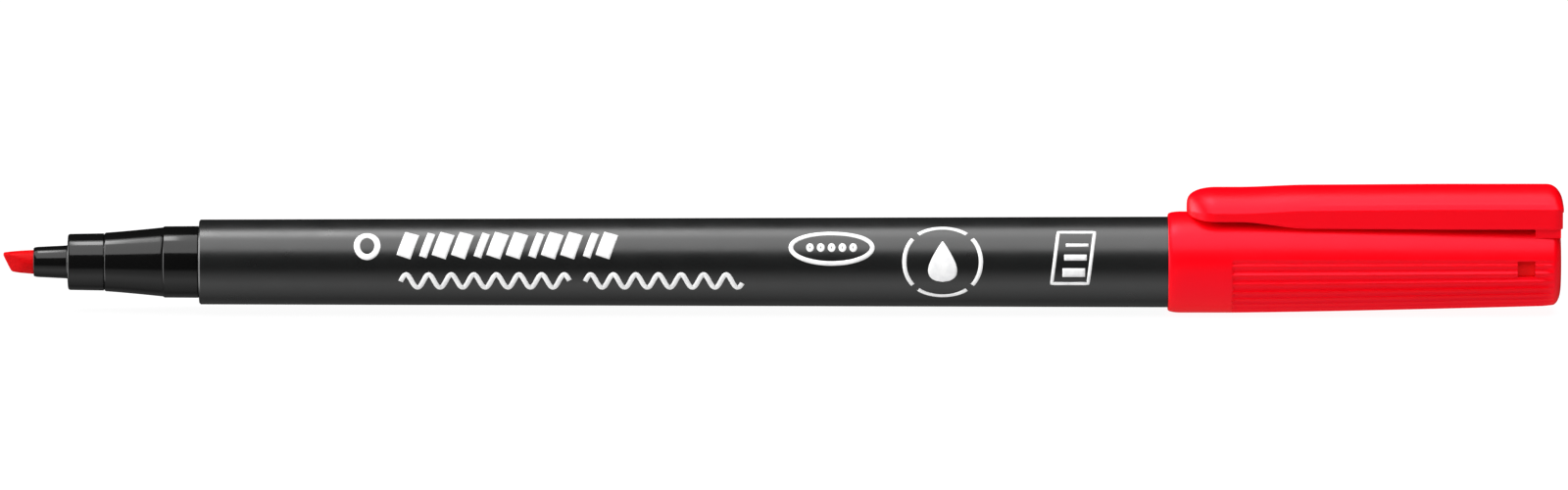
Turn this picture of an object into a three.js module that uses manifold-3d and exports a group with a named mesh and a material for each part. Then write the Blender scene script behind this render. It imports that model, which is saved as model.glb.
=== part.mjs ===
// Felt tip marker with a chisel nib, its cap posted on the rear end of the barrel.
//
// Millimetres. The pen lies along X with its nib towards -X and the pocket clip on top (+Z).
// The origin is under the middle of the pen, on the surface that the cap rests on.
// Lengths in the pen group are stations: distances from the nib's tip. Lengths in the cap group
// are distances from the cap's mouth.

import * as THREE from 'three';
import { mergeVertices } from 'three/addons/utils/BufferGeometryUtils.js';
import Module from 'manifold-3d';

const wasm = await Module();
wasm.setup();

// ---------------------------------------------------------------- driving dimensions

const PEN_LENGTH = 159.1;      // nib tip to the clip's rear end, cap posted
const CAP_STATION = 118.8;     // nib tip to the mouth of the posted cap
const SEAM = 0.05;             // axial gap where two pieces meet end to end
const OVERSHOOT = 1;           // how far a cutting solid reaches past what it cuts
const ROUND_SIDES = 40;        // facets round the pen's own pieces
const CAP_SIDES = 68;          // facets round the cap: one per half flute

const NIB = {
  radius: 1.25,
  length: 36,
  chiselLength: 3.1,
  edgeThickness: 0.9,
  edgeHeight: 1.9,
  slant: 0.9,                  // how far the lower end of the writing edge lies behind the upper
  upperRound: 0.25,
  lowerRound: 0.55,
  lowerSag: 0.05,              // the lower corner's rounding ends this much below the edge
  planLead: 0.1,               // the flat faces are cut from this far ahead of the tip
};

const HOLDER = {
  station: 3.1,
  bore: 1.3,
  mouthRadius: 1.44,
  nozzleRadius: [1.52, 1.7],
  nozzleLength: 3.5,
  collarRadius: [2.86, 2.92],
  collarEnd: 7.15,
  spigotRadius: 2.28,
  spigotEnd: 11.2,
  guideRadius: 1.75,
  length: 18.9,
};

const SECTION = {
  station: 10.3,
  coneRadius: [3.0, 3.62],
  coneLength: 6,
  coneCurve: 1.15,             // above 1, so the cone flares a little
  coneSteps: 5,
  sleeveRadius: [3.625, 3.665],
  sleeveEnd: 9.65,
  spigotRadius: 3.33,
  length: 19.7,
  holderBore: 2.35,
  holderDepth: 4.05,
  bore: 2.9,
};

const BARREL = {
  station: 20,
  length: 107,
  radius: [4.33, 4.65],
  bore: 3.4,
  rearBore: 3.65,
  rearBoreLength: 8,
};

const RESERVOIR = {
  station: 30.2,
  length: 89.4,
  coreRadius: 2.88,
  filmRadius: [2.95, 3.1],
  socketRadius: 1.32,
  socketDepth: 6,
  grooveWidth: 0.95,
  grooveFloor: 1.95,
};

const BREATHER = { station: 22.5, length: 95.5, radius: 0.4, bore: 0.2, offset: 2.42, sides: 12 };

const PLUG = {
  station: 120,
  spigotRadius: 3.6,
  spigotLength: 7,
  flangeRadius: 4.45,
  flangeEnd: 8.3,
  tailRadius: 3.64,
  length: 13.8,
  bore: 2.7,
  endWall: 1.2,
};

const CAP = {
  length: 40.06,
  radius: 5.17,
  lipRadius: 4.87,
  lipLength: 1.3,
  taperStart: 6.7,
  taperEnd: 38.2,
  endRadius: 4.5,
  taperCurve: 1.3,             // above 1, so the cap's side is slightly convex
  taperSteps: 6,
  cornerStart: 39.2,
  cornerStep: 0.1,             // the rounded end is this much smaller than the side it meets
  faceRadius: 2.6,
  cornerSteps: 5,
  mouthBore: 4.74,
  mouthDepth: 10.7,
  linerBore: [4.23, 4.08],
  endWall: 1.06,
};

const FLUTES = { start: 6.4, end: 39.3, depth: 0.18, runOut: 0.1, skin: 0.15 };

const WINDOW = { start: 35.55, length: 1.8, height: 1.65 };

const PEDESTAL = { start: 37.4, end: 40, halfWidth: 2.9, floor: 4.12, top: 5.6 };

const BUTTRESS = { inner: 2.85, outer: 3.4, floor: 3.05, top: 3.88 };

const LINER = {
  start: 11,
  end: 38.8,
  radius: [4.15, 4],
  mouthRadius: 3.8,
  gripBore: 3.72,
  gripEnd: 16.5,
  coneBore: 3.55,
  coneEnd: 21,
  nibBore: 3.2,
  nibEnd: 32.5,
  endWall: 0.8,
  tailBore: 3.1,
  chamfer: 0.4,
};

const CLIP = {
  front: 1.9,
  rear: 40.3,
  halfWidth: 3.7,
  apex: 8.03,
  rim: 6.01,                   // where the domed top meets the upright side
  skirt: 3.95,                 // lower edge of the side
  noseLength: 3,
  noseSlenderness: 0.55,       // how quickly the dome rises from the free end
  noseLift: 0.65,
  noseBlunt: 0.2,              // part of the full width left at the free end
  tailRound: 1.7,
  tailBlunt: 0.02,             // part of the dome's height left at the rear end
  tailCorner: 1,
  slopeStart: 28.2,
  slopeLength: 20,
  slopeDrop: { apex: 0.12, rim: 0.15, skirt: -0.13 },
  bendStart: 14.2,
  bendLength: 7,
  bendDrop: { apex: 0.19, rim: 0.25, skirt: -0.66 },
  wall: 0.55,
  roof: 0.98,
  noseWall: 0.9,
  noseClearance: { end: 3.6, radius: 5.35 },
  rootStart: 37.4,
  rootFloor: 5.65,
  nub: { station: 8.2, radius: 1, height: 6.4, width: 3 },
};

// ---------------------------------------------------------------- materials

const sectionBlack = new THREE.MeshStandardMaterial({ color: 0x0c0d0e, roughness: 0.25, metalness: 0 });
const barrelBlack = new THREE.MeshStandardMaterial({ color: 0x101112, roughness: 0.5, metalness: 0 });
const capRed = new THREE.MeshStandardMaterial({ color: 0xe80818, roughness: 0.22, metalness: 0 });
const linerRed = new THREE.MeshStandardMaterial({ color: 0xd80a12, roughness: 0.4, metalness: 0 });
const feltRed = new THREE.MeshStandardMaterial({ color: 0xe01028, roughness: 0.9, metalness: 0 });
const fibreWhite = new THREE.MeshStandardMaterial({ color: 0xd9585c, roughness: 0.95, metalness: 0 });
const filmClear = new THREE.MeshStandardMaterial({ color: 0xe8e8ea, roughness: 0.15, metalness: 0 });
const tubeWhite = new THREE.MeshStandardMaterial({ color: 0xe4e6e8, roughness: 0.35, metalness: 0 });

// ---------------------------------------------------------------- shape helpers

// A solid of revolution about X from [distance along X, radius] pairs.
function turned(profile, sides = ROUND_SIDES) {
  const points = profile.map(([along, radius]) => new THREE.Vector2(radius, along));
  return new THREE.LatheGeometry(points, sides).rotateZ(-Math.PI / 2);
}

// A box from its lowest to its highest corner.
function block(low, high) {
  const size = high.map((value, axis) => value - low[axis]);
  const middle = high.map((value, axis) => (value + low[axis]) / 2);
  return new THREE.BoxGeometry(...size).translate(...middle);
}

// A closed geometry as a manifold solid.
function toSolid(geometry) {
  const bare = geometry.clone();
  bare.deleteAttribute('normal');
  bare.deleteAttribute('uv');
  const merged = mergeVertices(bare, 1e-4);
  const corners = merged.index.array;
  const triangles = [];
  for (let i = 0; i < corners.length; i += 3) {
    const [a, b, c] = corners.slice(i, i + 3);
    if (a !== b && b !== c && c !== a) {
      triangles.push(a, b, c);
    }
  }
  return new wasm.Manifold(new wasm.Mesh({
    numProp: 3,
    vertProperties: new Float32Array(merged.attributes.position.array),
    triVerts: new Uint32Array(triangles),
  }));
}

function toGeometry(solid) {
  const mesh = solid.getMesh();
  const geometry = new THREE.BufferGeometry();
  geometry.setAttribute('position', new THREE.BufferAttribute(mesh.vertProperties, 3));
  geometry.setIndex(new THREE.BufferAttribute(mesh.triVerts, 1));
  geometry.computeVertexNormals();
  return geometry;
}

// A section in (across, up), carried along X through the stations; place() moves each point.
function lofted(section, stations, place) {
  const steps = stations.length - 1;
  const geometry = new THREE.ExtrudeGeometry(section, {
    depth: steps,
    steps,
    curveSegments: 12,
    bevelEnabled: false,
  });
  const position = geometry.attributes.position;
  for (let i = 0; i < position.count; i += 1) {
    const station = stations[Math.round(position.getZ(i))];
    const [across, up] = place(position.getX(i), position.getY(i), station);
    position.setXYZ(i, station, across, up);
  }
  return geometry;
}

// Evenly spaced values from one end to the other, both included.
function spaced(from, to, steps) {
  return Array.from({ length: steps + 1 }, (_, i) => THREE.MathUtils.lerp(from, to, i / steps));
}

// ---------------------------------------------------------------- nib

// The writing edge seen from the side: slanted, with a tight upper and a fuller lower corner.
function nibSideOutline() {
  const top = NIB.edgeHeight / 2;
  const clear = NIB.radius + NIB.planLead;
  const outline = new THREE.Shape();
  outline.moveTo(NIB.length, clear);
  outline.lineTo(NIB.chiselLength, clear);
  outline.lineTo(NIB.upperRound, top);
  outline.quadraticCurveTo(0, top, 0, top - NIB.upperRound);
  outline.lineTo(NIB.slant * (1 - NIB.lowerRound / NIB.edgeHeight), NIB.lowerRound - top);
  outline.quadraticCurveTo(NIB.slant, -top, NIB.slant + NIB.lowerRound, -top - NIB.lowerSag);
  outline.lineTo(NIB.chiselLength, -clear);
  outline.lineTo(NIB.length, -clear);
  return outline;
}

// The two flat faces of the chisel seen from above.
function nibPlanOutline() {
  const clear = NIB.radius + NIB.planLead;
  const outline = new THREE.Shape();
  outline.moveTo(-NIB.planLead, -NIB.edgeThickness / 2);
  outline.lineTo(NIB.chiselLength, -clear);
  outline.lineTo(NIB.length, -clear);
  outline.lineTo(NIB.length, clear);
  outline.lineTo(NIB.chiselLength, clear);
  outline.lineTo(-NIB.planLead, NIB.edgeThickness / 2);
  return outline;
}

function nibGeometry() {
  const span = 2 * NIB.radius + OVERSHOOT;
  const prism = { depth: span, bevelEnabled: false, curveSegments: 5 };
  const rod = turned([[0, 0], [0, NIB.radius], [NIB.length, NIB.radius], [NIB.length, 0]]);
  const side = new THREE.ExtrudeGeometry(nibSideOutline(), prism)
    .translate(0, 0, -span / 2)
    .rotateX(Math.PI / 2);
  const plan = new THREE.ExtrudeGeometry(nibPlanOutline(), prism).translate(0, 0, -span / 2);
  return toGeometry(toSolid(rod).intersect(toSolid(side)).intersect(toSolid(plan)));
}

// ---------------------------------------------------------------- front end and barrel

function holderGeometry() {
  const chamfer = 0.1;
  const { nozzleLength, nozzleRadius, collarRadius, collarEnd, bore } = HOLDER;
  return turned([
    [0, bore],
    [0, HOLDER.mouthRadius],
    [3 * chamfer, nozzleRadius[0]],
    [nozzleLength, nozzleRadius[1]],
    [nozzleLength, collarRadius[0] - chamfer],
    [nozzleLength + chamfer, collarRadius[0]],
    [collarEnd, collarRadius[1]],
    [collarEnd, HOLDER.spigotRadius],
    [HOLDER.spigotEnd, HOLDER.spigotRadius],
    [HOLDER.spigotEnd, HOLDER.guideRadius],
    [HOLDER.length, HOLDER.guideRadius],
    [HOLDER.length, bore],
    [0, bore],
  ]);
}

function sectionGeometry() {
  const [tip, base] = SECTION.coneRadius;
  const cone = spaced(0, 1, SECTION.coneSteps).map((part) => [
    part * SECTION.coneLength,
    tip + (base - tip) * part ** SECTION.coneCurve,
  ]);
  return turned([
    [0, SECTION.holderBore],
    ...cone,
    [SECTION.coneLength, SECTION.sleeveRadius[0]],
    [SECTION.sleeveEnd, SECTION.sleeveRadius[1]],
    [SECTION.sleeveEnd, SECTION.spigotRadius],
    [SECTION.length, SECTION.spigotRadius],
    [SECTION.length, SECTION.bore],
    [SECTION.holderDepth, SECTION.bore],
    [SECTION.holderDepth, SECTION.holderBore],
    [0, SECTION.holderBore],
  ]);
}

function barrelGeometry() {
  const edge = 0.1;
  const [front, rear] = BARREL.radius;
  const rearBoreStart = BARREL.length - BARREL.rearBoreLength;
  return turned([
    [0, BARREL.bore],
    [0, front - edge],
    [edge, front],
    [BARREL.length - 3 * edge, rear],
    [BARREL.length, rear - 3 * edge],
    [BARREL.length, BARREL.rearBore],
    [rearBoreStart, BARREL.rearBore],
    [rearBoreStart, BARREL.bore],
    [0, BARREL.bore],
  ]);
}

function plugGeometry() {
  const round = 0.5;
  const flangeStart = PLUG.spigotLength + SEAM;
  return turned([
    [PLUG.length - PLUG.endWall, 0],
    [PLUG.length - PLUG.endWall, PLUG.bore],
    [0, PLUG.bore],
    [0, PLUG.spigotRadius],
    [flangeStart, PLUG.spigotRadius],
    [flangeStart, PLUG.flangeRadius],
    [PLUG.flangeEnd, PLUG.flangeRadius],
    [PLUG.flangeEnd, PLUG.tailRadius],
    [PLUG.length - round, PLUG.tailRadius],
    [PLUG.length, PLUG.tailRadius - round],
    [PLUG.length, 0],
  ]);
}

// ---------------------------------------------------------------- ink store

// Fibre rod with a socket for the nib's tail and a groove on top for the breather tube.
function coreGeometry() {
  const rod = turned([
    [RESERVOIR.socketDepth, 0],
    [RESERVOIR.socketDepth, RESERVOIR.socketRadius],
    [0, RESERVOIR.socketRadius],
    [0, RESERVOIR.coreRadius],
    [RESERVOIR.length, RESERVOIR.coreRadius],
    [RESERVOIR.length, 0],
  ]);
  const half = RESERVOIR.grooveWidth / 2;
  const groove = block(
    [-OVERSHOOT, -half, RESERVOIR.grooveFloor],
    [RESERVOIR.length + OVERSHOOT, half, RESERVOIR.coreRadius + OVERSHOOT],
  );
  return toGeometry(toSolid(rod).subtract(toSolid(groove)));
}

function tubeGeometry(length, bore, radius, sides) {
  return turned([[0, bore], [0, radius], [length, radius], [length, bore], [0, bore]], sides);
}

// ---------------------------------------------------------------- cap

// Outer radius of the cap's side between the lip and the rounded end.
function capRadius(along) {
  const part = THREE.MathUtils.clamp((along - CAP.taperStart) / (CAP.taperEnd - CAP.taperStart), 0, 1);
  return CAP.radius - (CAP.radius - CAP.endRadius) * part ** CAP.taperCurve;
}

// A quarter ellipse: rim at its start, flat end face at its end.
function capCorner() {
  const depth = CAP.length - CAP.cornerStart;
  const height = CAP.endRadius - CAP.cornerStep - CAP.faceRadius;
  return spaced(0, Math.PI / 2, CAP.cornerSteps).map((turn) => [
    CAP.cornerStart + depth * Math.sin(turn),
    CAP.faceRadius + height * Math.cos(turn),
  ]);
}

function capLip() {
  return spaced(0, Math.PI / 2, 3).map((turn) => [
    CAP.lipLength * (1 - Math.cos(turn)),
    CAP.lipRadius + (CAP.radius - CAP.lipRadius) * Math.sin(turn),
  ]);
}

// Pulls every second facet edge of the cap's lower half inwards, which leaves V flutes.
function cutFlutes(geometry) {
  const position = geometry.attributes.position;
  const quarter = CAP_SIDES / 4;
  for (let i = 0; i < position.count; i += 1) {
    const along = position.getX(i);
    const radius = Math.hypot(position.getY(i), position.getZ(i));
    const turn = Math.atan2(Math.abs(position.getY(i)), position.getZ(i));
    const edge = Math.round(turn / (2 * Math.PI / CAP_SIDES));
    const onOutside = radius > capRadius(along) - FLUTES.skin;
    const inFlute = along > FLUTES.start && along < FLUTES.end;
    if (onOutside && inFlute && edge >= quarter && (edge - quarter) % 2 === 0) {
      const scale = (radius - FLUTES.depth) / radius;
      position.setXYZ(i, along, position.getY(i) * scale, position.getZ(i) * scale);
    }
  }
  return geometry;
}

function capGeometry() {
  const wallEnd = CAP.length - CAP.endWall;
  const side = spaced(FLUTES.start + FLUTES.runOut, CAP.taperEnd, CAP.taperSteps);
  const shell = cutFlutes(turned([
    [wallEnd, 0],
    [wallEnd, CAP.linerBore[1]],
    [CAP.mouthDepth, CAP.linerBore[0]],
    [CAP.mouthDepth, CAP.mouthBore],
    [0, CAP.mouthBore],
    ...capLip(),
    [FLUTES.start, CAP.radius],
    ...side.map((along) => [along, capRadius(along)]),
    ...capCorner(),
    [CAP.length, 0],
  ], CAP_SIDES));
  // One bar cuts both windows.
  const windows = block(
    [WINDOW.start, -CAP.radius - OVERSHOOT, -WINDOW.height / 2],
    [WINDOW.start + WINDOW.length, CAP.radius + OVERSHOOT, WINDOW.height / 2],
  );
  const pedestal = block(
    [PEDESTAL.start, -PEDESTAL.halfWidth, PEDESTAL.floor],
    [PEDESTAL.end, PEDESTAL.halfWidth, PEDESTAL.top],
  );
  // Carries the clip's skirts, one on each side of the pedestal.
  const buttress = block(
    [PEDESTAL.start, BUTTRESS.inner, BUTTRESS.floor],
    [PEDESTAL.end, BUTTRESS.outer, BUTTRESS.top],
  );
  const otherButtress = buttress.clone().translate(0, -BUTTRESS.inner - BUTTRESS.outer, 0);
  return toGeometry(
    toSolid(shell)
      .add(toSolid(pedestal))
      .add(toSolid(buttress))
      .add(toSolid(otherButtress))
      .subtract(toSolid(windows)),
  );
}

// Sealing sleeve inside the cap: it grips the section's sleeve when the cap is on the nib, and
// the end plug's tail when the cap is posted.
function linerGeometry() {
  return turned([
    [LINER.nibEnd, 0],
    [LINER.nibEnd, LINER.nibBore],
    [LINER.coneEnd, LINER.nibBore],
    [LINER.coneEnd - LINER.chamfer, LINER.coneBore],
    [LINER.gripEnd, LINER.coneBore],
    [LINER.gripEnd - LINER.chamfer, LINER.gripBore],
    [LINER.start + LINER.chamfer, LINER.gripBore],
    [LINER.start, LINER.mouthRadius],
    [LINER.start, LINER.radius[0]],
    [LINER.end, LINER.radius[1]],
    [LINER.end, LINER.tailBore],
    [LINER.nibEnd + LINER.endWall, LINER.tailBore],
    [LINER.nibEnd + LINER.endWall, 0],
  ]);
}

// ---------------------------------------------------------------- pocket clip

// Heights of the clip's crest, rim and skirt: level at the rear, then a slow slope and an S bend.
function clipHeights(station) {
  const slope = THREE.MathUtils.clamp((CLIP.slopeStart - station) / CLIP.slopeLength, 0, 1);
  const bend = THREE.MathUtils.smoothstep(CLIP.bendStart - station, 0, CLIP.bendLength);
  const at = (line) => CLIP[line] - slope * CLIP.slopeDrop[line] - bend * CLIP.bendDrop[line];
  return { apex: at('apex'), rim: at('rim'), skirt: at('skirt') };
}

// Width in plan as a part of the full width: an elliptic nose and rounded rear corners.
function clipWidth(station, front) {
  const noseLeft = THREE.MathUtils.clamp((front + CLIP.noseLength - station) / CLIP.noseLength, 0, 1);
  const nose = Math.sqrt(1 - noseLeft ** 2);
  const past = Math.max(0, station - (CLIP.rear - CLIP.tailCorner)) / CLIP.tailCorner;
  const tail = 1 - (CLIP.tailCorner / CLIP.halfWidth) * (1 - Math.sqrt(Math.max(0, 1 - past ** 2)));
  return Math.max(nose, CLIP.noseBlunt) * tail;
}

// Height of the dome as a part of its full height.
function clipDome(station, front) {
  const past = Math.max(0, station - (CLIP.rear - CLIP.tailRound)) / CLIP.tailRound;
  const tail = Math.sqrt(Math.max(0, 1 - past ** 2));
  return clipWidth(station, front) ** CLIP.noseSlenderness * Math.max(tail, CLIP.tailBlunt);
}

// The clip's outer form, or its hollow: narrower by wall, lower by roof, shorter by noseWall.
function clipBody({ wall, roof, noseWall, rear }) {
  const front = CLIP.front + noseWall;
  const halfWidth = CLIP.halfWidth - wall;
  const rise = CLIP.apex - CLIP.rim;
  const radius = (halfWidth ** 2 + rise ** 2) / (2 * rise);
  const halfTurn = Math.asin(halfWidth / radius);
  const section = new THREE.Shape();
  section.moveTo(-halfWidth, CLIP.skirt);
  section.lineTo(halfWidth, CLIP.skirt);
  section.lineTo(halfWidth, CLIP.rim);
  section.absarc(0, CLIP.apex - radius, radius, Math.PI / 2 - halfTurn, Math.PI / 2 + halfTurn, false);

  const nose = spaced(0, Math.PI / 2, 6).map((turn) => front + CLIP.noseLength * (1 - Math.cos(turn)));
  const middle = spaced(front + CLIP.noseLength, CLIP.rear - CLIP.tailRound, 12).slice(1);
  const tail = spaced(0, Math.PI / 2, 5).map((turn) => CLIP.rear - CLIP.tailRound * (1 - Math.sin(turn)));
  const stations = [...nose, ...middle, ...tail.slice(1)].filter((station) => station < rear);
  stations.push(rear);

  return lofted(section, stations, (across, up, station) => {
    const { rim, skirt } = clipHeights(station);
    const width = clipWidth(station, front);
    const lift = CLIP.noseLift * (1 - Math.min(1, clipWidth(station, front)));
    const foot = station < CLIP.rootStart ? skirt + lift : skirt;
    const height = up > CLIP.rim
      ? rim + (up - CLIP.rim) * clipDome(station, front) * (clipHeights(station).apex - rim) / rise
      : THREE.MathUtils.mapLinear(up, CLIP.skirt, CLIP.rim, foot, rim);
    return [across * width, height - roof];
  });
}

function clipGeometry() {
  const { wall, roof, noseWall, noseClearance, rootStart, rootFloor, rear, halfWidth, nub } = CLIP;
  const body = toSolid(clipBody({ wall: 0, roof: 0, noseWall: 0, rear }));
  const hollow = toSolid(clipBody({ wall, roof, noseWall, rear: rootStart }));
  const rootSlot = toSolid(block(
    [rootStart - OVERSHOOT, wall - halfWidth, 0],
    [rear + OVERSHOOT, halfWidth - wall, rootFloor],
  ));
  const lipRoom = toSolid(turned([
    [0, 0],
    [0, noseClearance.radius],
    [noseClearance.end, noseClearance.radius],
    [noseClearance.end, 0],
  ]));
  const nubBar = toSolid(
    new THREE.CylinderGeometry(nub.radius, nub.radius, nub.width, 16).translate(nub.station, 0, nub.height),
  );
  return toGeometry(body.subtract(hollow).subtract(rootSlot).subtract(lipRoom).add(nubBar));
}

// ---------------------------------------------------------------- assembly

const marker = new THREE.Group();
marker.position.set(-PEN_LENGTH / 2, 0, CAP.radius);

const cap = new THREE.Group();
cap.position.x = CAP_STATION;
marker.add(cap);

function place(parent, name, geometry, material, position = [0, 0, 0]) {
  const mesh = new THREE.Mesh(geometry, material);
  mesh.name = name;
  mesh.position.set(...position);
  parent.add(mesh);
}

place(marker, 'nib', nibGeometry(), feltRed);
place(marker, 'nib_holder', holderGeometry(), sectionBlack, [HOLDER.station, 0, 0]);
place(marker, 'front_section', sectionGeometry(), sectionBlack, [SECTION.station, 0, 0]);
place(marker, 'barrel', barrelGeometry(), barrelBlack, [BARREL.station, 0, 0]);
place(marker, 'reservoir_core', coreGeometry(), fibreWhite, [RESERVOIR.station, 0, 0]);
place(
  marker,
  'reservoir_film',
  tubeGeometry(RESERVOIR.length, ...RESERVOIR.filmRadius),
  filmClear,
  [RESERVOIR.station, 0, 0],
);
place(
  marker,
  'breather_tube',
  tubeGeometry(BREATHER.length, BREATHER.bore, BREATHER.radius, BREATHER.sides),
  tubeWhite,
  [BREATHER.station, 0, BREATHER.offset],
);
place(marker, 'end_plug', plugGeometry(), linerRed, [PLUG.station, 0, 0]);
place(cap, 'inner_cap', linerGeometry(), linerRed);
place(cap, 'cap_shell', capGeometry(), capRed);
place(cap, 'pocket_clip', clipGeometry(), capRed);

export default marker;
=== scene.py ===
import math

import bmesh
import bpy
from mathutils import Matrix, Vector, noise


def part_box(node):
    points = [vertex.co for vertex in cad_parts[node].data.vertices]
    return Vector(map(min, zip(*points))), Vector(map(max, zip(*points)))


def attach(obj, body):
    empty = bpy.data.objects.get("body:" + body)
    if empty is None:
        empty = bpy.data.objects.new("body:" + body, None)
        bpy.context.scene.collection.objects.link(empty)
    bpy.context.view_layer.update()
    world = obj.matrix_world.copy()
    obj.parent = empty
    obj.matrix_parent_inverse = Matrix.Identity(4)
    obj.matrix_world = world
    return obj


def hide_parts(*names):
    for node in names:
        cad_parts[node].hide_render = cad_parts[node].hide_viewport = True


# Felt tip marker on a pale floor, its red cap posted on the rear end of the black barrel.
#
# The pen lies along X with its nib towards -X and the pocket clip on top. Sizes are millimetres
# along and out from the pen's axis, and each piece starts where its CAD node starts. Turns are
# measured round the axis from the top, towards +Y.

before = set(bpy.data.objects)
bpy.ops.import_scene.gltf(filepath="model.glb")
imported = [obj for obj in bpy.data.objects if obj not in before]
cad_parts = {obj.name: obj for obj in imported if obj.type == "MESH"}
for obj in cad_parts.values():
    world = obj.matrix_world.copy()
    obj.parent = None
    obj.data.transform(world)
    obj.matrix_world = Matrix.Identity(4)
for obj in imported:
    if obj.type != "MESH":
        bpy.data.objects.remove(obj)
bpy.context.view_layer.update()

MM = 0.001
SIDES = 192                      # facets round a plain turned piece
FLUTE_SIDES = 34                 # flute pitches in a full turn
SIDES_PER_FLUTE = 12
AXIS = sum(corner[2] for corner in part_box("barrel")) / 2
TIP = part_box("nib")[0][0]
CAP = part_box("cap_shell")[0][0]


def front(node):
    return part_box(node)[0][0]


def length(node):
    low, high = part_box(node)
    return (high[0] - low[0]) / MM


def girth(node):
    """Radius of a node, in millimetres, from its width."""
    low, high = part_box(node)
    return (high[1] - low[1]) / 2 / MM


def clamp(value, low=0.0, high=1.0):
    return max(low, min(high, value))


def smooth(value):
    value = clamp(value)
    return value * value * (3 - 2 * value)


def mix(start, end, part):
    return start + (end - start) * part


def spaced(start, end, steps):
    return [start + (end - start) * i / steps for i in range(steps + 1)]


# ---------------------------------------------------------------- materials


class Nodes:
    """A material's node tree, with a Principled shader ready to be linked."""

    def __init__(self, name, **sockets):
        self.material = bpy.data.materials.new(name)
        self.material.use_nodes = True
        self.tree = self.material.node_tree
        self.shader = self.tree.nodes["Principled BSDF"]
        self.place = self.add("ShaderNodeTexCoord").outputs["Object"]
        for socket, value in sockets.items():
            self.shader.inputs[socket.replace("_", " ")].default_value = value

    def add(self, kind, **settings):
        node = self.tree.nodes.new(kind)
        for key, value in settings.items():
            setattr(node, key, value)
        return node

    def link(self, output, socket):
        self.tree.links.new(output, socket)

    def noise(self, size_mm, detail=3.0, stretch=(1, 1, 1), distortion=0.0):
        """Noise with features about size_mm across, longer along an axis that is stretched."""
        mapping = self.add("ShaderNodeMapping")
        mapping.inputs["Scale"].default_value = [1 / (size_mm * MM * long) for long in stretch]
        self.link(self.place, mapping.inputs["Vector"])
        texture = self.add("ShaderNodeTexNoise")
        texture.inputs["Scale"].default_value = 1.0
        texture.inputs["Detail"].default_value = detail
        texture.inputs["Distortion"].default_value = distortion
        self.link(mapping.outputs["Vector"], texture.inputs["Vector"])
        return texture.outputs["Fac"]

    def ranged(self, value, low, high, from_low=0.3, from_high=0.7):
        node = self.add("ShaderNodeMapRange")
        node.inputs["From Min"].default_value = from_low
        node.inputs["From Max"].default_value = from_high
        node.inputs["To Min"].default_value = low
        node.inputs["To Max"].default_value = high
        self.link(value, node.inputs["Value"])
        return node.outputs["Result"]

    def colours(self, value, *stops):
        """A colour ramp from (position, colour) stops, driven by value."""
        ramp = self.add("ShaderNodeValToRGB")
        elements = ramp.color_ramp.elements
        while len(elements) < len(stops):
            elements.new(0.5)
        for element, (position, colour) in zip(elements, stops):
            element.position = position
            element.color = (*colour, 1)
        self.link(value, ramp.inputs["Fac"])
        self.link(ramp.outputs["Color"], self.shader.inputs["Base Color"])

    def bumps(self, *layers):
        """Stacks (height, depth in mm, strength) layers of bump on the shader."""
        normal = None
        for height, depth, strength in layers:
            bump = self.add("ShaderNodeBump")
            bump.inputs["Distance"].default_value = depth * MM
            bump.inputs["Strength"].default_value = strength
            self.link(height, bump.inputs["Height"])
            if normal:
                self.link(normal, bump.inputs["Normal"])
            normal = bump.outputs["Normal"]
        self.link(normal, self.shader.inputs["Normal"])


def plastic(name, dark, light, roughness, grain_mm, grain_depth, scuff_depth=0.002, **sockets):
    """Moulded plastic: faint colour variation, handling marks in the gloss, grain and hairlines."""
    nodes = Nodes(name, **sockets)
    cloud = nodes.noise(size_mm=14, detail=4, stretch=(2, 1, 1))
    nodes.colours(cloud, (0.3, dark), (0.7, light))
    low, high = roughness
    marks = nodes.noise(size_mm=3.5, detail=5)
    nodes.link(nodes.ranged(marks, low, high), nodes.shader.inputs["Roughness"])
    grain = nodes.noise(grain_mm, detail=2)
    scratches = nodes.noise(size_mm=0.25, detail=1, stretch=(22, 1, 1))
    hairlines = nodes.ranged(scratches, 0, 1, from_low=0.62, from_high=0.8)
    nodes.bumps((grain, grain_depth, 1.0), (hairlines, scuff_depth, 0.4))
    return nodes.material


def felt(name):
    """Felt soaked with red ink: darker between the fibres, no gloss."""
    nodes = Nodes(name, Specular_IOR_Level=0.07)
    fibres = nodes.noise(0.09, detail=3, stretch=(7, 1, 1), distortion=0.4)
    pores = nodes.noise(0.2, detail=2)
    nodes.colours(fibres, (0.25, (0.44, 0.0004, 0.0014)), (0.7, (0.60, 0.0006, 0.0026)))
    nodes.link(nodes.ranged(pores, 0.45, 0.6), nodes.shader.inputs["Roughness"])
    nodes.bumps((fibres, 0.004, 0.4), (pores, 0.005, 0.4))
    return nodes.material


def printed_ink(name):
    """White screen print, a little uneven and thin in places."""
    nodes = Nodes(name)
    nodes.colours(nodes.noise(0.8, detail=5), (0.25, (0.72, 0.72, 0.73)), (0.6, (0.86, 0.86, 0.86)))
    nodes.link(nodes.ranged(nodes.noise(0.3), 0.38, 0.52), nodes.shader.inputs["Roughness"])
    nodes.bumps((nodes.noise(0.07, detail=2), 0.003, 0.6))
    return nodes.material


def ink_fibre(name):
    """Bundled polyester fibre, unevenly soaked with ink."""
    nodes = Nodes(name, Specular_IOR_Level=0.2)
    strands = nodes.noise(0.12, detail=3, stretch=(40, 1, 1))
    nodes.colours(strands, (0.3, (0.42, 0.01, 0.02)), (0.75, (0.85, 0.22, 0.24)))
    nodes.link(nodes.ranged(strands, 0.75, 0.95), nodes.shader.inputs["Roughness"])
    nodes.bumps((strands, 0.03, 0.8))
    return nodes.material


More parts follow.
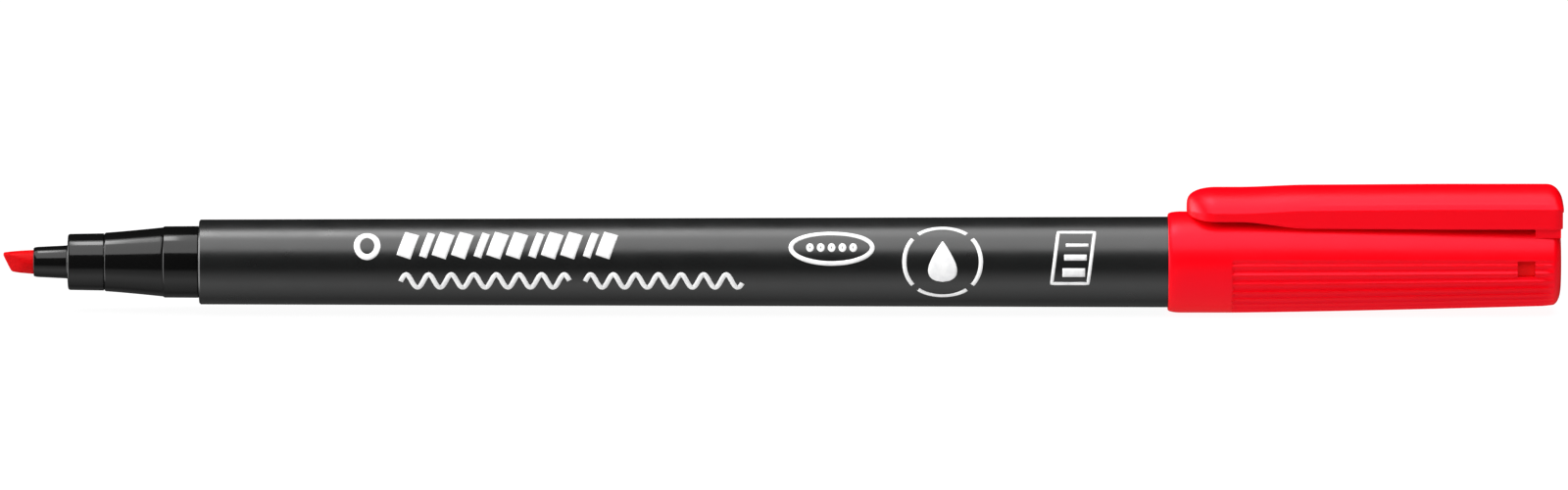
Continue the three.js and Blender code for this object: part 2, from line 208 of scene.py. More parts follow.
def clear_wrap(name):
    """Thin glossy wrap round the fibre, with soft wrinkles."""
    nodes = Nodes(name, Alpha=0.55)
    wrinkles = nodes.noise(1.8, detail=3, stretch=(3, 1, 1))
    nodes.colours(wrinkles, (0.3, (0.72, 0.72, 0.75)), (0.7, (0.9, 0.9, 0.92)))
    nodes.link(nodes.ranged(wrinkles, 0.08, 0.2), nodes.shader.inputs["Roughness"])
    nodes.bumps((wrinkles, 0.03, 0.4))
    return nodes.material


barrel_black = plastic(
    "barrel_black",
    dark=(0.0066, 0.0068, 0.0068),
    light=(0.0090, 0.0094, 0.0094),
    roughness=(0.27, 0.33),
    grain_mm=0.12,
    grain_depth=0.0010,
    scuff_depth=0.0006,
)
section_black = plastic(
    "section_black",
    dark=(0.0026, 0.0026, 0.0026),
    light=(0.0040, 0.0040, 0.0040),
    roughness=(0.09, 0.14),
    grain_mm=0.4,
    grain_depth=0.0004,
    scuff_depth=0.0003,
    Specular_IOR_Level=0.27,
)
cap_red = plastic(
    "cap_red",
    dark=(0.81, 0.0005, 0.0044),
    light=(0.86, 0.0008, 0.0056),
    roughness=(0.29, 0.35),
    grain_mm=0.6,
    grain_depth=0.0004,
    scuff_depth=0.0003,
    Specular_IOR_Level=0.16,
    Specular_Tint=(1.0, 0.5, 0.9, 1.0),
)
liner_red = plastic(
    "liner_red",
    dark=(0.64, 0.0004, 0.0012),
    light=(0.72, 0.0006, 0.0018),
    roughness=(0.40, 0.50),
    grain_mm=0.3,
    grain_depth=0.0008,
    Specular_IOR_Level=0.1,
)
tube_white = plastic(
    "tube_white",
    dark=(0.70, 0.71, 0.71),
    light=(0.80, 0.81, 0.81),
    roughness=(0.3, 0.4),
    grain_mm=0.15,
    grain_depth=0.002,
)
nib_felt = felt("nib_felt")
print_white = printed_ink("print_white")
fibre = ink_fibre("ink_fibre")
film = clear_wrap("clear_film")


# ---------------------------------------------------------------- mesh helpers


def at(start, along, radius, turn):
    """A point in the frame: along from start and out from the pen's axis."""
    return Vector((
        start + along * MM,
        radius * MM * math.sin(turn),
        AXIS + radius * MM * math.cos(turn),
    ))


def raw_mesh(name, points, faces):
    """An object in the scene from points in the frame, not yet shaded or placed."""
    mesh = bpy.data.meshes.new(name)
    mesh.from_pydata(points, [], faces)
    mesh.validate()
    piece = bpy.data.objects.new(name, mesh)
    bpy.context.scene.collection.objects.link(piece)
    return piece


def finished(piece, material, body, nodes=(), sharp_degrees=32):
    """Shading, material and the piece's place in the frame."""
    mesh = piece.data
    mesh.materials.clear()
    mesh.materials.append(material)
    mesh.shade_smooth()
    mesh.set_sharp_from_angle(angle=math.radians(sharp_degrees))
    weights = piece.modifiers.new("face weights", "WEIGHTED_NORMAL")
    weights.keep_sharp = True
    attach(piece, body)
    if nodes:
        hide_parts(*nodes)


def carve(piece, tool, operation="DIFFERENCE"):
    """Cuts the tool from the piece, or joins it on, and deletes the tool."""
    modifier = piece.modifiers.new("carve", "BOOLEAN")
    modifier.object = tool
    modifier.operation = operation
    modifier.solver = "EXACT"
    depsgraph = bpy.context.evaluated_depsgraph_get()
    result = bpy.data.meshes.new_from_object(piece.evaluated_get(depsgraph))
    piece.modifiers.clear()
    piece.data = result
    bpy.data.objects.remove(tool)


def filleted(corners):
    """Outline points from (along, radius, fillet) corners; a corner with no fillet stays sharp."""
    steps = 4
    longest_part = 0.45          # of a side that one fillet may take
    closed = corners[0][1] > 0
    points = []
    for i, (along, radius, *fillet) in enumerate(corners):
        at_end = not closed and i in (0, len(corners) - 1)
        if at_end or not fillet:
            points.append((along, radius))
            continue
        corner = Vector((along, radius))
        to_last = Vector(corners[i - 1][:2]) - corner
        to_next = Vector(corners[(i + 1) % len(corners)][:2]) - corner
        reach = min(fillet[0], to_last.length * longest_part, to_next.length * longest_part)
        begin = corner + to_last.normalized() * reach
        end = corner + to_next.normalized() * reach
        for part in spaced(0, 1, steps):
            point = begin.lerp(corner, part).lerp(corner.lerp(end, part), part)
            points.append(tuple(point))
    return points


def turned(name, start, corners, sides=SIDES, pull=None):
    """A solid of revolution; pull(along, radius, turn) may sink points towards the axis."""
    outline = filleted(corners)
    closed = outline[0][1] > 0
    points, rings = [], []
    for along, radius in outline:
        count = sides if radius > 0 else 1
        rings.append([len(points) + i % count for i in range(sides)])
        for i in range(count):
            turn = 2 * math.pi * i / sides
            sunk = pull(along, radius, turn) if pull else 0
            points.append(at(start, along, radius - sunk, turn))
    pairs = list(zip(rings, rings[1:]))
    if closed:
        pairs.append((rings[-1], rings[0]))
    faces = []
    for ring, after in pairs:
        for i in range(sides):
            j = (i + 1) % sides
            corners_used = dict.fromkeys((ring[i], after[i], after[j], ring[j]))
            faces.append(tuple(corners_used))
    return raw_mesh(name, points, faces)


def cap_block(name, low, high):
    """A box between two corners, in millimetres from the cap's mouth and the pen's axis."""
    shift = Vector((CAP, 0, AXIS))
    low, high = shift + Vector(low) * MM, shift + Vector(high) * MM
    piece = raw_mesh(name, [], [])
    shape = bmesh.new()
    bmesh.ops.create_cube(shape, size=1)
    for vertex in shape.verts:
        part = vertex.co + Vector((0.5, 0.5, 0.5))
        vertex.co = [mix(low[k], high[k], part[k]) for k in range(3)]
    shape.to_mesh(piece.data)
    shape.free()
    return piece


def tube_faces(rings, count):
    """Faces between rings of count points each, in order, with a flat face at both ends."""
    faces = []
    for k in range(rings - 1):
        for i in range(count):
            j = (i + 1) % count
            faces.append((k * count + i, (k + 1) * count + i, (k + 1) * count + j, k * count + j))
    last = (rings - 1) * count
    faces.append(tuple(range(count)))
    faces.append(tuple(last + i for i in reversed(range(count))))
    return faces


# ---------------------------------------------------------------- nib


def nib():
    """Felt rod cut to a slanted chisel, with softly worn edges."""
    radius = girth("nib")
    end = length("nib")
    chisel = 3.1
    rod = chisel * 1.25          # plain round rod from here on
    edge_half_thickness, edge_half_height = 0.42, 0.92
    root_half_thickness, root_half_height = 1.5 * radius, 1.12 * radius
    slant = 0.9                  # the lower end of the writing edge lies this far behind
    tip_round = 0.22
    tip_thickness, tip_height = 0.25, 0.62    # parts of the edge's size left at its very tip
    squareness = 9.0             # of the chisel's long corners
    wear = 0.012
    sides = 128
    stations = [tip_round * (1 - math.cos(t)) for t in spaced(0, math.pi / 2, 8)]
    stations += spaced(tip_round, rod, 44)[1:] + spaced(rod, end, 12)[1:]
    points = []
    for station in stations:
        part = station / chisel
        nose = math.sqrt(clamp(1 - (1 - station / tip_round) ** 2)) if station < tip_round else 1.0
        thick = mix(edge_half_thickness, root_half_thickness, part) * mix(tip_thickness, 1, nose)
        tall = mix(edge_half_height, root_half_height, part) * mix(tip_height, 1, nose)
        lean = slant * clamp(1 - part) ** 0.8
        for i in range(sides):
            turn = 2 * math.pi * i / sides
            across, up = abs(math.sin(turn)), abs(math.cos(turn))
            limit = (across / thick) ** squareness + (up / tall) ** squareness
            out = (radius ** -squareness + limit) ** (-1 / squareness)
            height = out * math.cos(turn)
            rough = noise.noise(Vector((station * 3, out * math.sin(turn) * 7, height * 7)))
            out += wear * rough * clamp(2 - part)
            along = station + lean * (0.5 - height / (2 * edge_half_height))
            points.append(at(TIP, along, out, turn))
    piece = raw_mesh("felt_nib", points, tube_faces(len(stations), sides))
    forward = min(vertex.co.x for vertex in piece.data.vertices) - TIP
    for vertex in piece.data.vertices:
        vertex.co.x -= forward
    finished(piece, nib_felt, "pen_body", ["nib"], sharp_degrees=60)


# ---------------------------------------------------------------- front end and barrel

SEAM_EDGE = 0.15                 # chamfer that catches the light at each joint


def nib_holder():
    """Stepped black holder: nozzle, collar, spigot and guide tube."""
    bore, spigot, guide = 1.3, 2.28, 1.75
    nozzle_end, collar_end, spigot_end = 3.5, 7.15, 11.2
    reach = length("nib_holder")
    piece = turned("holder", front("nib_holder"), [
        (0, bore, 0.05),
        (0, 1.46, 0.1),
        (0.35, 1.54, 0.15),
        (nozzle_end - 0.12, 1.69, 0.1),
        (nozzle_end, 1.8, 0.08),
        (nozzle_end, 2.86, 0.26),
        (collar_end - 0.02, 2.92),
        (collar_end, 2.89),
        (collar_end, spigot),
        (spigot_end, spigot, 0.1),
        (spigot_end, guide),
        (reach, guide, 0.1),
        (reach, bore, 0.05),
    ])
    finished(piece, section_black, "pen_body", ["nib_holder"])


def front_section():
    """Cone and short sleeve that the cap's inner sleeve seals on, with a spigot in the barrel."""
    cone_end, sleeve_end = 6.0, 9.65
    tip, base, sleeve = 2.99, 3.53, 3.64
    mouth, mouth_end = 2.35, 4.05
    spigot, bore = 3.33, 2.9
    cone = [(part * cone_end, mix(tip, base, part ** 1.15)) for part in spaced(0.04, 0.96, 14)]
    reach = length("front_section")
    piece = turned("grip_section", front("front_section"), [
        (0, mouth),
        (0, tip - SEAM_EDGE),
        (SEAM_EDGE, tip + 0.01),
        *cone,
        (cone_end, base),
        (cone_end + SEAM_EDGE, sleeve),
        (sleeve_end, girth("front_section"), 0.12),
        (sleeve_end, spigot),
        (reach, spigot, 0.2),
        (reach, bore, 0.1),
        (mouth_end, bore),
        (mouth_end, mouth),
    ])
    finished(piece, section_black, "pen_body", ["front_section"])


BARREL_RADII = (4.33, girth("barrel"))
BARREL_LENGTH = length("barrel")


def barrel_radius(along):
    tip, rear = BARREL_RADII
    return tip + (rear - tip) * along / BARREL_LENGTH


def barrel():
    """Long tube, stepped inside near its rear for the end plug."""
    bore, plug_bore, plug_depth = 3.4, 3.65, 8
    reach = BARREL_LENGTH
    piece = turned("barrel_tube", front("barrel"), [
        (0, bore, 0.05),
        (0, barrel_radius(0) - SEAM_EDGE),
        (SEAM_EDGE, barrel_radius(SEAM_EDGE)),
        (reach, barrel_radius(reach), 0.35),
        (reach, plug_bore, 0.15),
        (reach - plug_depth, plug_bore),
        (reach - plug_depth, bore),
    ])
    finished(piece, barrel_black, "pen_body", ["barrel"])


def end_plug():
    """Red plug in the barrel's rear; the posted cap's inner sleeve grips its tail."""
    reach = length("end_plug")
    bore, end_wall = 2.7, reach - 1.2
    stem, flange, neck, tail = 3.6, 4.45, 3.62, 3.64
    flange_start, flange_end, neck_end = 7.05, 8.3, 9.3
    dimple, dimple_radius = 0.3, 1.0
    piece = turned("barrel_end_plug", front("end_plug"), [
        (end_wall, 0),
        (end_wall, bore, 0.3),
        (0, bore, 0.1),
        (0, stem, 0.2),
        (flange_start, stem),
        (flange_start, flange, 0.08),
        (flange_end, flange, 0.3),
        (flange_end, neck, 0.1),
        (neck_end, neck, 0.1),
        (neck_end + 0.2, tail, 0.1),
        (reach - 1.1, tail, 0.1),
        (reach, 3.1, 0.5),
        (reach, dimple_radius + 0.2, 0.1),
        (reach - dimple, dimple_radius, 0.1),
        (reach - dimple, 0),
    ])
    finished(piece, liner_red, "pen_body", ["end_plug"])


# ---------------------------------------------------------------- cap

CAP_RADIUS = girth("cap_shell")
CAP_LENGTH = length("cap_shell")
CAP_TAPER = (6.7, 38.2)          # from the cap's mouth
FLUTE_DEPTH = 0.22
FLUTES = (6.4, 39.35)            # from the cap's mouth
FLUTE_RUN_IN, FLUTE_RUN_OUT = 0.3, 0.9
BORDER = math.radians(6.5)       # width of the groove beside the last flute
BORDER_PART = 0.8                # of the flutes' depth
WINDOW = (35.55, 37.35, 0.825)   # start, end and half height
CLIP_ROOT = (37.4, 40.0)         # where the clip stands on the cap, from the mouth


def cap_radius(along):
    """The side's radius: level behind the lip, then a slightly convex taper."""
    start, end = CAP_TAPER
    end_radius = 4.5
    part = clamp((along - start) / (end - start))
    return CAP_RADIUS - (CAP_RADIUS - end_radius) * part ** 1.3


def flute(along, radius, turn):
    """Depth of the scalloped flutes: full pitches over the lower half, and a narrow border."""
    begin, end = FLUTES
    skin = 0.75                  # the outer surface is no deeper than this
    if radius < cap_radius(along) - skin or not begin < along < end:
        return 0.0
    from_bottom = abs(math.pi - turn)
    pitch = 2 * math.pi / FLUTE_SIDES
    last_crest = math.pi / 2 + pitch / 2
    if from_bottom <= last_crest:
        across = abs(((from_bottom / pitch) % 1) - 0.5) * 2
        shape = 1 - across ** 2
    else:
        across = clamp((from_bottom - last_crest) / BORDER)
        shape = BORDER_PART * math.sin(math.pi * across ** 0.7) if across < 1 else 0.0
    run_in = smooth((along - begin) / FLUTE_RUN_IN)
    run_out = smooth((end - along) / FLUTE_RUN_OUT)
    return FLUTE_DEPTH * shape * run_in * run_out


def cap_shell():
    """Outer cap: rounded lip, fluted side, domed end, windows, and what the clip stands on."""
    mouth_bore, mouth_depth = 4.74, 10.7
    bore, end_bore = 4.23, 4.08
    end_wall = CAP_LENGTH - 1.06
    lip_length, lip_radius = 1.3, 4.87
    lip = [(lip_length * (1 - math.cos(t)), mix(lip_radius, CAP_RADIUS, math.sin(t)))
           for t in spaced(0, math.pi / 2, 8)]
    flute_start = spaced(FLUTES[0], FLUTES[0] + FLUTE_RUN_IN, 6)
    side = [2.5, 4.5, 6.35, *flute_start, *spaced(7.3, CAP_TAPER[1], 42)]
    corner_start, corner_radius, face_radius = 39.2, 4.4, 2.6
    corner = [(mix(corner_start, CAP_LENGTH, math.sin(t)), mix(face_radius, corner_radius, math.cos(t)))
              for t in spaced(0, math.pi / 2, 14)]
    gate_radius, gate_floor = 1.25, CAP_LENGTH - 0.12
    shell = turned("cap_outer", CAP, [
        (end_wall, 0),
        (end_wall, end_bore, 0.3),
        (mouth_depth, bore),
        (mouth_depth, mouth_bore),
        (0.3, mouth_bore, 0.1),
        (0, 4.81, 0.04),
        *lip,
        *[(along, cap_radius(along)) for along in side],
        (38.7, 4.46),
        *corner,
        (CAP_LENGTH, gate_radius, 0.1),
        (gate_floor, gate_radius - 0.15, 0.1),
        (gate_floor, 0),
    ], sides=FLUTE_SIDES * SIDES_PER_FLUTE, pull=flute)
    root, root_end = CLIP_ROOT
    half, foot, top = 2.9, 4.12, 5.6
    carve(shell, cap_block("pedestal", (root, -half, foot), (root_end, half, top)), "UNION")
    foot, top = 3.05, 3.93
    for right, left in ((2.85, 3.4), (-3.4, -2.85)):
        carve(shell, cap_block("buttress", (root, right, foot), (root_end, left, top)), "UNION")
    start, end, half = WINDOW
    beyond = 6                   # past both of the cap's sides
    carve(shell, cap_block("window", (start, -beyond, -half), (end, beyond, half)))
    finished(shell, cap_red, "cap", ["cap_shell"], sharp_degrees=48)


def inner_cap():
    """Sealing sleeve inside the cap, seen through the windows and at the mouth."""
    reach = length("inner_cap")
    bulkhead, bulkhead_end = 21.5, 22.3
    tip_bore, cone_bore, sleeve_bore, rear_bore = 3.2, 3.55, 3.72, 3.1
    mouth_bore, mouth_radius, rear_radius = 3.85, 4.15, 4.0
    piece = turned("cap_liner_sleeve", front("inner_cap"), [
        (bulkhead, 0),
        (bulkhead, tip_bore, 0.4),
        (10, tip_bore, 0.2),
        (9.6, cone_bore, 0.2),
        (5.5, cone_bore, 0.2),
        (5.1, sleeve_bore, 0.2),
        (0.4, sleeve_bore, 0.2),
        (0, mouth_bore, 0.1),
        (0, mouth_radius, 0.12),
        (reach, rear_radius, 0.1),
        (reach, rear_bore, 0.1),
        (bulkhead_end, rear_bore, 0.3),
        (bulkhead_end, 0),
    ])
    finished(piece, liner_red, "cap_liner", ["inner_cap"])


# ---------------------------------------------------------------- pocket clip

CLIP_FRONT = (front("pocket_clip") - CAP) / MM
CLIP_REAR = CLIP_FRONT + length("pocket_clip")
CLIP_HALF = girth("pocket_clip")
# Each line's height at the rear, and its drop along the slope and in the bend.
CLIP_LINES = {"apex": (8.03, 0.12, 0.19), "rim": (6.01, 0.15, 0.25), "skirt": (3.95, -0.13, -0.66)}
NOSE = 3.0                       # length of the rounded front
TAIL = 1.7                       # length of the rounded rear
TAIL_CORNER = 1.0                # radius of the rear corners, seen from above
NOSE_LIFT = 0.65                 # rise of the skirt round the nose
RIM_BEAD = 0.07                  # height of the beads along both rims
THINNEST = 0.02                  # keeps the very ends from closing to a line


def clip_line(line, along):
    """Height of the crest, rim or skirt: level at the rear, a slow slope, then an S bend."""
    height, slope_drop, bend_drop = CLIP_LINES[line]
    slope_start, slope_length = 28.2, 20     # both run from here towards the nose
    bend_start, bend_length = 14.2, 7
    slope = clamp((slope_start - along) / slope_length)
    bend = smooth((bend_start - along) / bend_length)
    return height - slope_drop * slope - bend_drop * bend


def clip_width(along, nose_start):
    """Part of the full width: an elliptic nose and rounded rear corners."""
    left = clamp((nose_start + NOSE - along) / NOSE)
    nose = max(THINNEST, math.sqrt(1 - left ** 2))
    past = clamp((along - CLIP_REAR + TAIL_CORNER) / TAIL_CORNER)
    tail = 1 - (1 - math.sqrt(1 - past ** 2)) * TAIL_CORNER / CLIP_HALF
    return nose * tail


def clip_dome(along, nose_start):
    """Part of the full rise of the dome above the rims."""
    past = clamp((along - CLIP_REAR + TAIL) / TAIL)
    return clip_width(along, nose_start) ** 0.55 * max(THINNEST, math.sqrt(1 - past ** 2))


def clip_bead(along, across):
    """Height of the bead along each rim, which fades out towards both ends."""
    from_rim, spread = 0.3, 0.16
    begin, run_in = 13, 5
    end, run_out = CLIP_REAR - 1, 0.8
    fade = smooth((along - begin) / run_in) * smooth((end - along) / run_out)
    return RIM_BEAD * fade * math.exp(-((CLIP_HALF - from_rim - abs(across)) / spread) ** 2)


def clip_section(half, rise, rounding):
    """Half of the clip's cross section from the middle of its foot to its crest: (across, up)."""
    dome_steps = 44
    radius = (half ** 2 + rise ** 2) / (2 * rise)
    half_turn = math.asin(half / radius)
    foot, rim, apex = (CLIP_LINES[line][0] for line in ("skirt", "rim", "apex"))
    dome = [(radius * math.sin(t), apex - radius + radius * math.cos(t))
            for t in spaced(half_turn, 0, dome_steps)]
    before = [(0, foot), (half * 0.5, foot), (half, foot, 0.5 * rounding)]
    before += [(half, height) for height in spaced(foot + 0.4, rim - 0.4, 3)]
    outline = filleted([(0.0, -1.0), *before, (half, rim, rounding), *dome[1:], (0.0, apex + 1)])
    return outline[1:-1]


def clip_form(name, wall=0.0, roof=0.0, nose_wall=0.0, rear=None):
    """The clip's outer form, or with wall, roof and nose_wall its hollow."""
    rear = rear or CLIP_REAR
    start = CLIP_FRONT + nose_wall
    apex, rim = CLIP_LINES["apex"][0], CLIP_LINES["rim"][0]
    rounding = 0.2 if wall else 0.34
    half_outline = clip_section(CLIP_HALF - wall, apex - rim, rounding)
    outline = half_outline + [(-across, up) for across, up in reversed(half_outline[1:-1])]
    stations = [start + NOSE * (1 - math.cos(t)) for t in spaced(0, math.pi / 2, 20)]
    stations += spaced(start + NOSE, CLIP_REAR - TAIL, 44)[1:]
    stations += [CLIP_REAR - TAIL * (1 - math.sin(t)) for t in spaced(0, math.pi / 2, 14)][1:]
    stations = [along for along in stations if along < rear - 0.01] + [rear]
    foot = CLIP_LINES["skirt"][0]
    halfway = 30
    points = []
    for along in stations:
        line = {key: clip_line(key, along) for key in CLIP_LINES}
        width = clip_width(along, start)
        dome = clip_dome(along, start) * (line["apex"] - line["rim"]) / (apex - rim)
        lift = NOSE_LIFT * (1 - width) if along < halfway else 0
        for across, up in outline:
            if up > rim:
                height = line["rim"] + (up - rim) * dome
                height += 0 if wall else clip_bead(along, across)
            else:
                part = (up - foot) / (rim - foot)
                height = line["skirt"] + lift + (line["rim"] - line["skirt"] - lift) * part
            points.append((CAP + along * MM, across * width * MM, AXIS + (height - roof) * MM))
    piece = raw_mesh(name, points, tube_faces(len(stations), len(outline)))
    shape = bmesh.new()
    shape.from_mesh(piece.data)
    bmesh.ops.recalc_face_normals(shape, faces=shape.faces)
    shape.to_mesh(piece.data)
    shape.free()
    return piece


def crossbar(name, along, height, radius, half_width):
    """A round bar across the cap, in millimetres from its mouth and the pen's axis."""
    sides = 48
    points = []
    for across in (-half_width, half_width):
        for i in range(sides):
            turn = 2 * math.pi * i / sides
            x, z = along + radius * math.sin(turn), height + radius * math.cos(turn)
            points.append((CAP + x * MM, across * MM, AXIS + z * MM))
    return raw_mesh(name, points, tube_faces(2, sides))


def pocket_clip():
    """Hollow clip, open below, with room for the cap's lip and pedestal and a nub that grips."""
    wall, root, root_floor = 0.55, CLIP_ROOT[0], 5.65
    inside = CLIP_HALF - wall
    lip_end, lip_room = 3.6, 5.35
    lip = [(0, 0), (0, lip_room), (lip_end, lip_room), (lip_end, 0)]
    clip = clip_form("clip_channel")
    carve(clip, clip_form("clip_hollow", wall, roof=0.98, nose_wall=0.9, rear=root))
    carve(clip, cap_block("root_slot", (root - 1, -inside, 0), (CLIP_REAR + 1, inside, root_floor)))
    carve(clip, turned("lip_room", CAP, lip, sides=96))
    carve(clip, crossbar("nub", along=8.2, height=6.4, radius=1.0, half_width=1.5), "UNION")
    finished(clip, cap_red, "clip", ["pocket_clip"])


# ---------------------------------------------------------------- white print

FACING = math.radians(-80)       # the turn that faces the camera


def printed(name, ribbons):
    """Thin white marks on the barrel from (path, width, closed) ribbons.

    Paths are (along from the barrel's front, up from the facing turn), in millimetres. A width is
    a number, or a function of the part of the path passed.
    """
    ink = 0.012                  # how far it stands out; its lower face lies in the barrel
    grain = 0.3                  # the widest face
    start = front("barrel")
    points, faces = [], []
    for path, width, closed in ribbons:
        width_at = width if callable(width) else lambda part, even=width: even
        count = len(path)
        rows = max(1, math.ceil(max(width_at(k / (count - 1)) for k in range(count)) / grain))
        first = len(points)
        for k, spot in enumerate(path):
            before = Vector(path[k - 1] if closed or k else spot)
            after = Vector(path[(k + 1) % count] if closed or k < count - 1 else spot)
            onward = (after - before).normalized()
            side = Vector((-onward.y, onward.x))
            half = width_at(k / (count - 1)) / 2
            for offset in spaced(-half, half, rows):
                place = Vector(spot) + side * offset
                radius = barrel_radius(place.x) + ink
                points.append(at(start, place.x, radius, FACING + place.y / radius))
        for k in range(count if closed else count - 1):
            row, after_row = first + k * (rows + 1), first + ((k + 1) % count) * (rows + 1)
            for i in range(rows):
                faces.append((row + i, after_row + i, after_row + i + 1, row + i + 1))
    piece = raw_mesh(name, points, faces)
    thickness = piece.modifiers.new("ink", "SOLIDIFY")
    thickness.thickness = 2.5 * ink * MM
    thickness.offset = -1
    finished(piece, print_white, "pen_body")


def stroke(start, end, step=0.3):
    """A straight path between two points, densely stepped."""
    start, end = Vector(start), Vector(end)
    steps = max(2, math.ceil((end - start).length / step))
    return [tuple(start.lerp(end, part)) for part in spaced(0, 1, steps)]


def ellipse(middle, height, across, tall, steps=72):
    turns = [2 * math.pi * i / steps for i in range(steps)]
    return [(middle + across * math.cos(t), height + tall * math.sin(t)) for t in turns]


def arc(middle, height, radius, start_degrees, end_degrees, steps=24):
    turns = [math.radians(degrees) for degrees in spaced(start_degrees, end_degrees, steps)]
    return [(middle + radius * math.cos(t), height + radius * math.sin(t)) for t in turns]


def wave(start, end, height, rise, pitch):
    """A squiggle, as a pen is tried out on paper."""
    steps = math.ceil((end - start) / pitch * 24)
    return [(along, height + rise * math.sin(2 * math.pi * (along - start) / pitch))
            for along in spaced(start, end, steps)]


def drop_width(part):
    """Width of an ink drop along its height, from its round foot to its point."""
    size, point, taper = 3.3, 0.03, 0.35
    return max(point, size * math.sin(math.pi * part ** 0.62) ** 0.8 * (1 - taper * part))


def prints():
    """Plain marks where a pen has its lettering and badges, from the front to the rear."""
    ring = ellipse(middle=17.2, height=1.7, across=1.05, tall=1.2, steps=40)
    printed("print_ring", [(ring, 0.62, True)])

    bars = []
    foot, top, slant, spacing = 0.5, 3.15, 0.9, 1.22
    along = 20.9
    for width in (1.5, 0.8, 1.5) * 4:
        bars.append((stroke((along, foot), (along + slant, top)), width, False))
        along += width / 2 + spacing
    printed("print_bars", bars)

    squiggle = {"height": -2.05, "rise": 0.75, "pitch": 2.3}
    waves = [wave(start, end, **squiggle) for start, end in ((20.6, 37.8), (39.4, 55.4))]
    printed("print_squiggle", [(path, 0.5, False) for path in waves])

    middle, height = 64.5, 1.5
    outline = ellipse(middle, height, across=4.15, tall=1.65)
    dots = [
        (ellipse(middle + shift, height, across=0.22, tall=0.3, steps=20), 0.34, True)
        for shift in (-2.2, -1.1, 0, 1.1, 2.2)
    ]
    printed("print_oval", [(outline, 0.46, True), *dots])

    middle, foot, top, gap_degrees = 75.8, -2.1, 2.2, 12
    broken_ring = [
        (arc(middle, 0, 3.9, turn + gap_degrees / 2, turn + 90 - gap_degrees / 2), 0.42, False)
        for turn in (45, 135, 225, 315)
    ]
    drop = (stroke((middle, foot), (middle, top), step=0.12), drop_width, False)
    printed("print_drop", [*broken_ring, drop])

    left, right, low, high, lean = 86.9, 90.6, -2.3, 3.3, 0.7
    corners = [(left, low), (right, low), (right + lean, high), (left + lean, high)]
    outline = []
    for corner, after in zip(corners, corners[1:] + corners[:1]):
        outline += stroke(corner, after)[:-1]
    inset_left, inset_right = 88.0, 90.3
    strokes = []
    for k, (height, width) in enumerate(((-1.1, 0.9), (0.45, 0.6), (1.75, 0.35))):
        shift = lean * k / 4
        path = stroke((inset_left + shift, height), (inset_right + shift, height))
        strokes.append((path, width, False))
    printed("print_stroke_panel", [(outline, 0.34, True), *strokes])


# ---------------------------------------------------------------- the pieces

nib()
nib_holder()
front_section()
barrel()
end_plug()
cap_shell()
inner_cap()
pocket_clip()
prints()

# The pieces inside the barrel keep their CAD meshes.
hidden_looks = {"reservoir_core": fibre, "reservoir_film": film, "breather_tube": tube_white}
for node, material in hidden_looks.items():
    for material_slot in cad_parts[node].material_slots:
        material_slot.material = material


# ---------------------------------------------------------------- stage, light and camera


def floor():
    """A wide pale floor that glows by itself, just below the pen's lowest point."""
    half, level = 15, -0.00005
    corners = [(-half, -half, level), (half, -half, level), (half, half, level), (-half, half, level)]
    piece = raw_mesh("floor", corners, [(0, 1, 2, 3)])
    nodes = Nodes("pale_floor", Roughness=0.8, Specular_IOR_Level=0.0, Emission_Strength=0.94)
    nodes.shader.inputs["Emission Color"].default_value = (1, 1, 1, 1)
    nodes.colours(nodes.noise(60, detail=2), (0.3, (0.09, 0.09, 0.09)), (0.7, (0.10, 0.10, 0.10)))
    piece.data.materials.append(nodes.material)
    piece.visible_glossy = False


def softbox(name, place, aim, size, radiance):
    """A rectangular light of even radiance, unseen by the camera: size is across and along Y."""
    light = bpy.data.lights.new(name, "AREA")
    light.shape = "RECTANGLE"
    light.size, light.size_y = size
    light.energy = radiance * math.pi * size[0] * size[1]
    lamp = bpy.data.objects.new(name, light)
    bpy.context.scene.collection.objects.link(lamp)
    lamp.location = place
    back = (Vector(place) - Vector(aim)).normalized()
    across = Vector((0, 1, 0)).cross(back).normalized()
    lamp.rotation_euler = Matrix((across, back.cross(across), back)).transposed().to_euler()
    lamp.visible_camera = False


def lights():
    """A broad light overhead and in front, a bright strip beyond the tip, a low one on the left."""
    front_y = -0.4175
    strip_x, strip_y = -0.14, 0.03
    softbox("overhead", (0, front_y, 0.9), aim=(0, front_y, 0), size=(1.1, 1.375), radiance=4.0)
    softbox(
        "overhead_strip",
        (strip_x, strip_y, 0.88),
        aim=(strip_x, strip_y, 0),
        size=(0.15, 0.26),
        radiance=12.0,
    )
    softbox("left", (-1.3, 0.15, 0.36), aim=(-0.06, 0, 0), size=(0.7, 1.3), radiance=3.0)


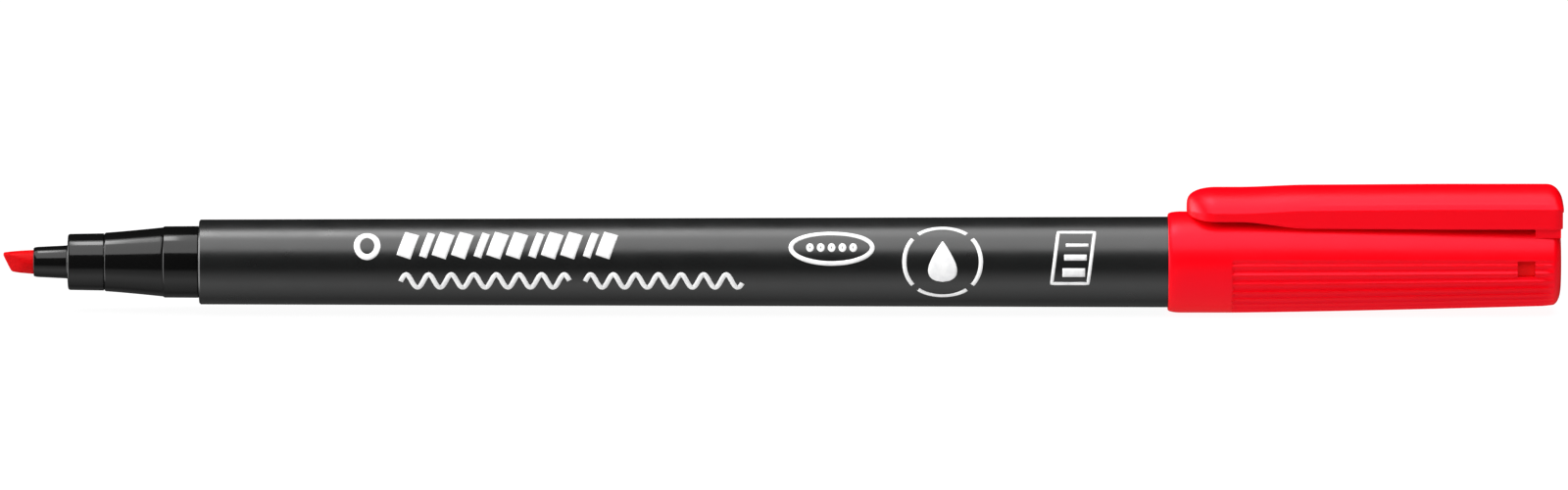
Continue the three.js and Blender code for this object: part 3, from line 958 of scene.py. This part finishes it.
def surroundings():
    """White for the camera; for other rays a dark room, a pale table top and light on the left."""
    world = bpy.data.worlds.new("room")
    bpy.context.scene.world = world
    world.use_nodes = True
    tree = world.node_tree

    def node(kind, **inputs):
        made = tree.nodes.new(kind)
        for socket, value in inputs.items():
            made.inputs[socket.replace("_", " ")].default_value = value
        return made

    direction = node("ShaderNodeSeparateXYZ")
    tree.links.new(node("ShaderNodeTexCoord").outputs["Generated"], direction.inputs["Vector"])

    def ranged(axis, from_low, from_high, to_low, to_high):
        """A value that follows one axis of the direction looked in, held beyond both ends."""
        made = node("ShaderNodeMapRange", From_Min=from_low, From_Max=from_high)
        made.inputs["To Min"].default_value = to_low
        made.inputs["To Max"].default_value = to_high
        tree.links.new(direction.outputs[axis], made.inputs["Value"])
        return made.outputs["Result"]

    def combined(operation, first, second):
        made = node("ShaderNodeMath")
        made.operation = operation
        tree.links.new(first, made.inputs[0])
        tree.links.new(second, made.inputs[1])
        return made.outputs["Value"]

    # The table top's (place, level) stops, from straight down at 0 to the horizon at 0.5.
    table = node("ShaderNodeValToRGB")
    elements = table.color_ramp.elements
    stops = [(0.0, 0.87), (0.065, 1.0), (0.115, 0.97), (0.22, 0.62), (0.315, 0.4), (0.375, 0.03)]
    stops.append((0.5, 0.01))
    while len(elements) < len(stops):
        elements.new(0.5)
    for element, (position, level) in zip(elements, stops):
        element.position = position
        element.color = (level, level, level, 1)
    tree.links.new(ranged("Z", -1, 1, 0, 1), table.inputs["Fac"])
    near, far, beside = 1.5, 0.18, 5.0
    front_and_back = combined("MULTIPLY", table.outputs["Color"], ranged("Y", -0.7, 0.3, near, far))
    left = ranged("X", -0.9, -0.72, beside, 0.0)

    room = tree.nodes["Background"]
    room.inputs["Color"].default_value = (1, 1, 1, 1)
    tree.links.new(combined("ADD", front_and_back, left), room.inputs["Strength"])
    white = node("ShaderNodeBackground", Strength=1.1)
    either = node("ShaderNodeMixShader")
    rays = node("ShaderNodeLightPath")
    tree.links.new(rays.outputs["Is Camera Ray"], either.inputs["Fac"])
    tree.links.new(room.outputs["Background"], either.inputs[1])
    tree.links.new(white.outputs["Background"], either.inputs[2])
    tree.links.new(either.outputs["Shader"], tree.nodes["World Output"].inputs["Surface"])


def camera():
    """Long lens, looking down ten degrees, square to the pen's side."""
    elevation = math.radians(10)
    view_width = 0.16
    shift_right, shift_up = 0.1, 1.73        # millimetres, so that the pen sits as it should
    back = Vector((0, -math.cos(elevation), math.sin(elevation)))
    up = Vector((0, math.sin(elevation), math.cos(elevation)))
    lens = bpy.data.cameras.new("camera")
    lens.lens = 450
    distance = view_width * lens.lens / lens.sensor_width
    viewer = bpy.data.objects.new("camera", lens)
    bpy.context.scene.collection.objects.link(viewer)
    middle = Vector((shift_right * MM, 0, AXIS)) + up * shift_up * MM
    viewer.location = middle + back * distance
    viewer.rotation_mode = "QUATERNION"
    viewer.rotation_quaternion = (-back).to_track_quat("-Z", "Y")
    bpy.context.scene.camera = viewer


floor()
lights()
surroundings()
camera()
bpy.context.scene.view_settings.view_transform = "Standard"
